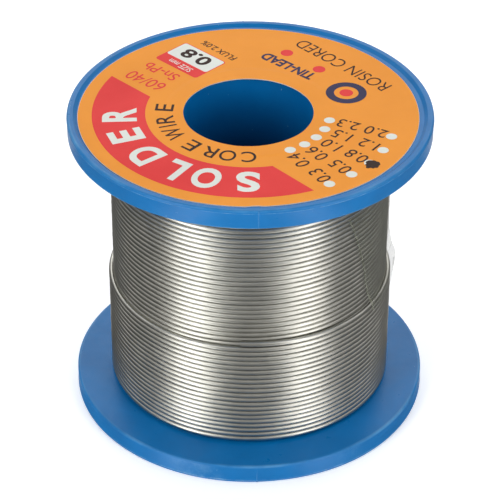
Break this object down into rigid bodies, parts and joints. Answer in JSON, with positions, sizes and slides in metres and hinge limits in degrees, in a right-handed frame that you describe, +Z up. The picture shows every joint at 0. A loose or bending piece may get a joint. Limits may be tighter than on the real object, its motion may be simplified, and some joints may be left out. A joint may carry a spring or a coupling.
{
  "type": "solder wire spool",
  "caption": "Small plastic spool of flux-cored solder wire, with flanges, a through bore for a spindle, a paper label and the wire's end taped down.",
  "frame": {"origin": "centre of the resting ring of the lower flange, on the spool's axis", "axes": "+Z up along the spool's axis, towards the label; -Y towards the front, where the wire's cut end is"},
  "size_m": [0.053, 0.053, 0.0478],
  "materials": {
    "blue_plastic": "moulded, semi-gloss",
    "label_paper": "printed, satin",
    "solder_wire": "drawn tin-lead solder, satin",
    "flux": "solid rosin",
    "clear_tape": "clear adhesive film"
  },
  "bodies": {
    "root": {"spool_body": "blue_plastic", "face_label": "label_paper", "wire_layer_01": "solder_wire", "wire_layer_02": "solder_wire", "wire_layer_03": "solder_wire", "wire_layer_04": "solder_wire", "wire_layer_05": "solder_wire", "wire_layer_06": "solder_wire", "wire_layer_07": "solder_wire", "wire_layer_08": "solder_wire", "wire_layer_09": "solder_wire", "wire_layer_10": "solder_wire", "wire_layer_11": "solder_wire", "wire_layer_12": "solder_wire", "wire_part_layer": "solder_wire", "wire_last_turn": "solder_wire", "flux_core": "flux", "clear_tape": "clear_tape"}
  },
  "joints": []
}
